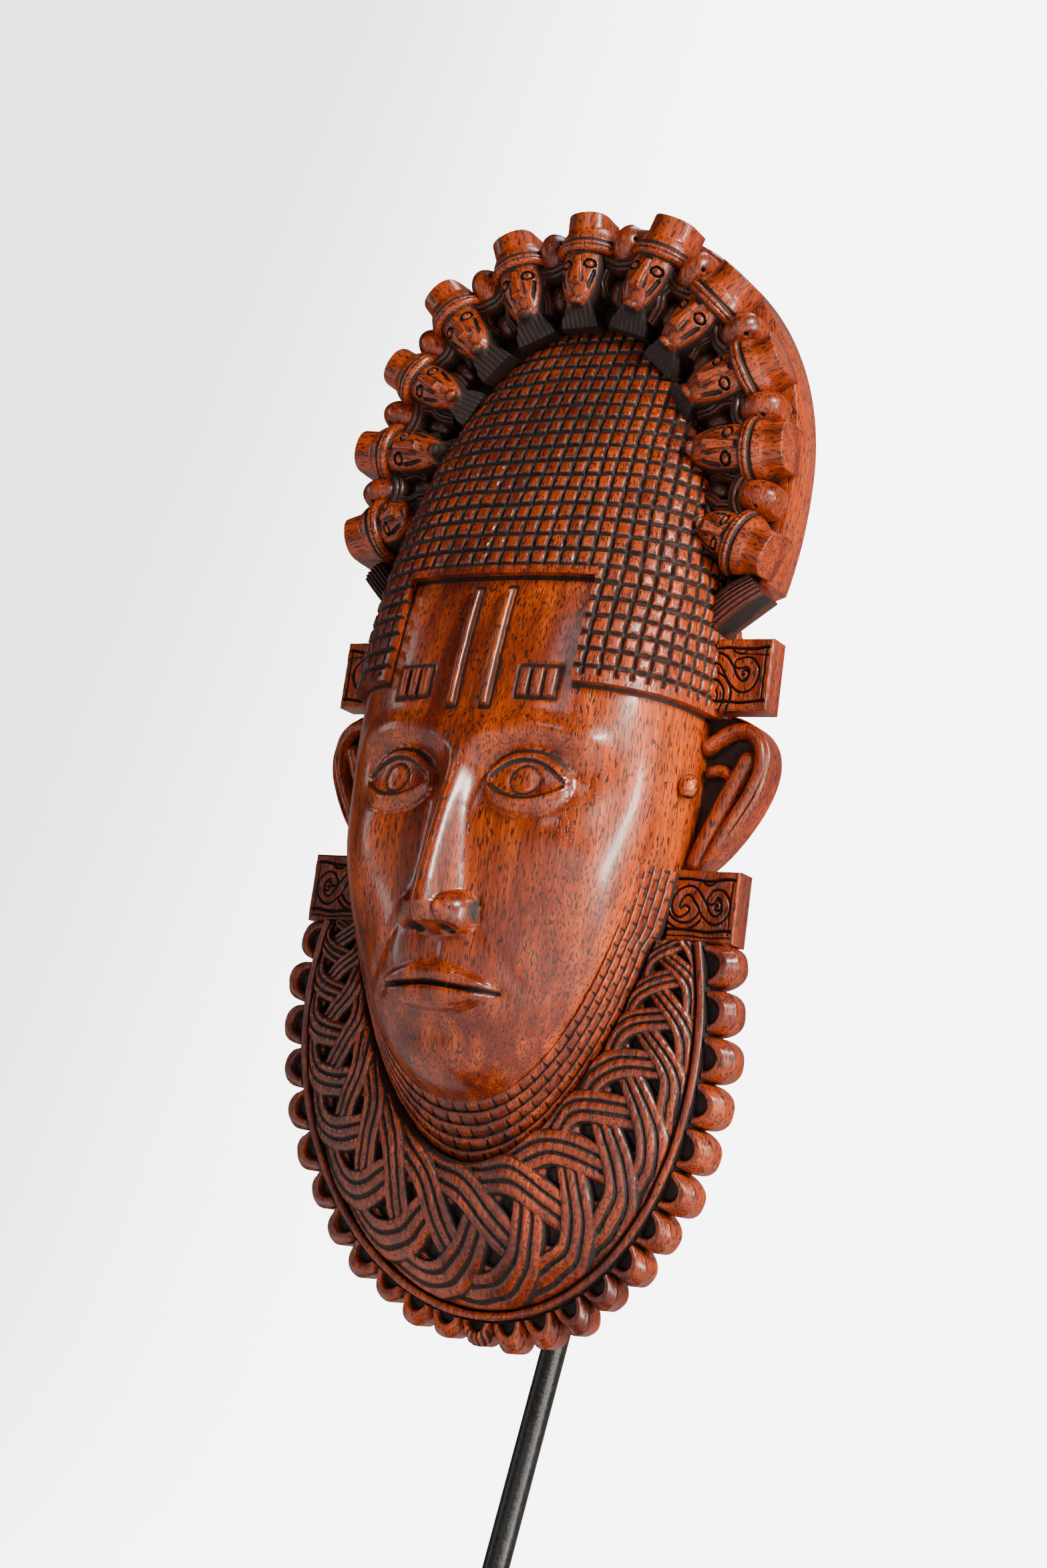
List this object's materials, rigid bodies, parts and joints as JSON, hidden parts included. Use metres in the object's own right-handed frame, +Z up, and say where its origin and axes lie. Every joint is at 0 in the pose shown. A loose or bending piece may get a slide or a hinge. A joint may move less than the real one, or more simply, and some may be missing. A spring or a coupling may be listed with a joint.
{
  "type": "carved wooden mask on display stand",
  "caption": "Carved hardwood mask with netted cap, crown of small heads, ears, side lugs and plaited collar, held by a tilting clevis on a bent steel post and base.",
  "frame": {"origin": "middle of the base's underside, on the post's axis", "axes": "+Z up along the post, the mask looks along -Y, +X to the viewer's right"},
  "size_m": [0.22, 0.3141, 0.6461],
  "materials": {
    "polished_wood": "reddish-brown hardwood, stained and waxed to a gloss, fine dark pores along the grain",
    "carved_wood": "the same wood, satin on the raised work with near-black stain in the cuts",
    "dark_wood": "the same wood, darker with stain in the close strands",
    "black_steel": "blackened and waxed steel, satin",
    "screw_steel": "plain steel fasteners",
    "felt": "pressed wool felt"
  },
  "bodies": {
    "stand_base": {"base_plate": "black_steel", "base_pad": "felt", "post_socket": "black_steel", "socket_screw": "screw_steel"},
    "bent_post": {"post": "black_steel", "post_tongue": "black_steel"},
    "mask": {"face_shell": "polished_wood", "netted_cap": "carved_wood", "forehead_bars": "polished_wood", "forehead_panels": "carved_wood", "crown_back_plate": "carved_wood", "crown_head_01": "carved_wood", "crown_head_02": "carved_wood", "crown_head_03": "carved_wood", "crown_head_04": "carved_wood", "crown_head_05": "carved_wood", "crown_head_06": "carved_wood", "crown_head_07": "carved_wood", "crown_head_08": "carved_wood", "crown_head_09": "carved_wood", "crown_head_10": "carved_wood", "crown_head_11": "carved_wood", "crown_hair_bands": "dark_wood", "crown_lobes": "carved_wood", "beard_fan_left": "dark_wood", "beard_fan_right": "dark_wood", "ear_left": "carved_wood", "ear_right": "carved_wood", "ear_beads": "polished_wood", "upper_lug_left": "carved_wood", "upper_lug_right": "carved_wood", "lower_lug_left": "carved_wood", "lower_lug_right": "carved_wood", "jaw_band": "carved_wood", "plaited_collar": "carved_wood", "collar_rim_cord": "carved_wood", "scalloped_fringe": "carved_wood", "back_strap": "black_steel", "strap_screws": "screw_steel", "tilt_bolt": "screw_steel", "tilt_nut": "screw_steel"}
  },
  "joints": [
    {"name": "post_turn", "type": "hinge", "parent": "stand_base", "child": "bent_post", "pos_m": [0, 0, 0.02], "axis": [0, 0, 1], "continuous": true},
    {"name": "mask_tilt", "type": "hinge", "parent": "bent_post", "child": "mask", "pos_m": [0, -0.087, 0.465], "axis": [1, 0, 0], "range_deg": [-30, 6]}
  ]
}
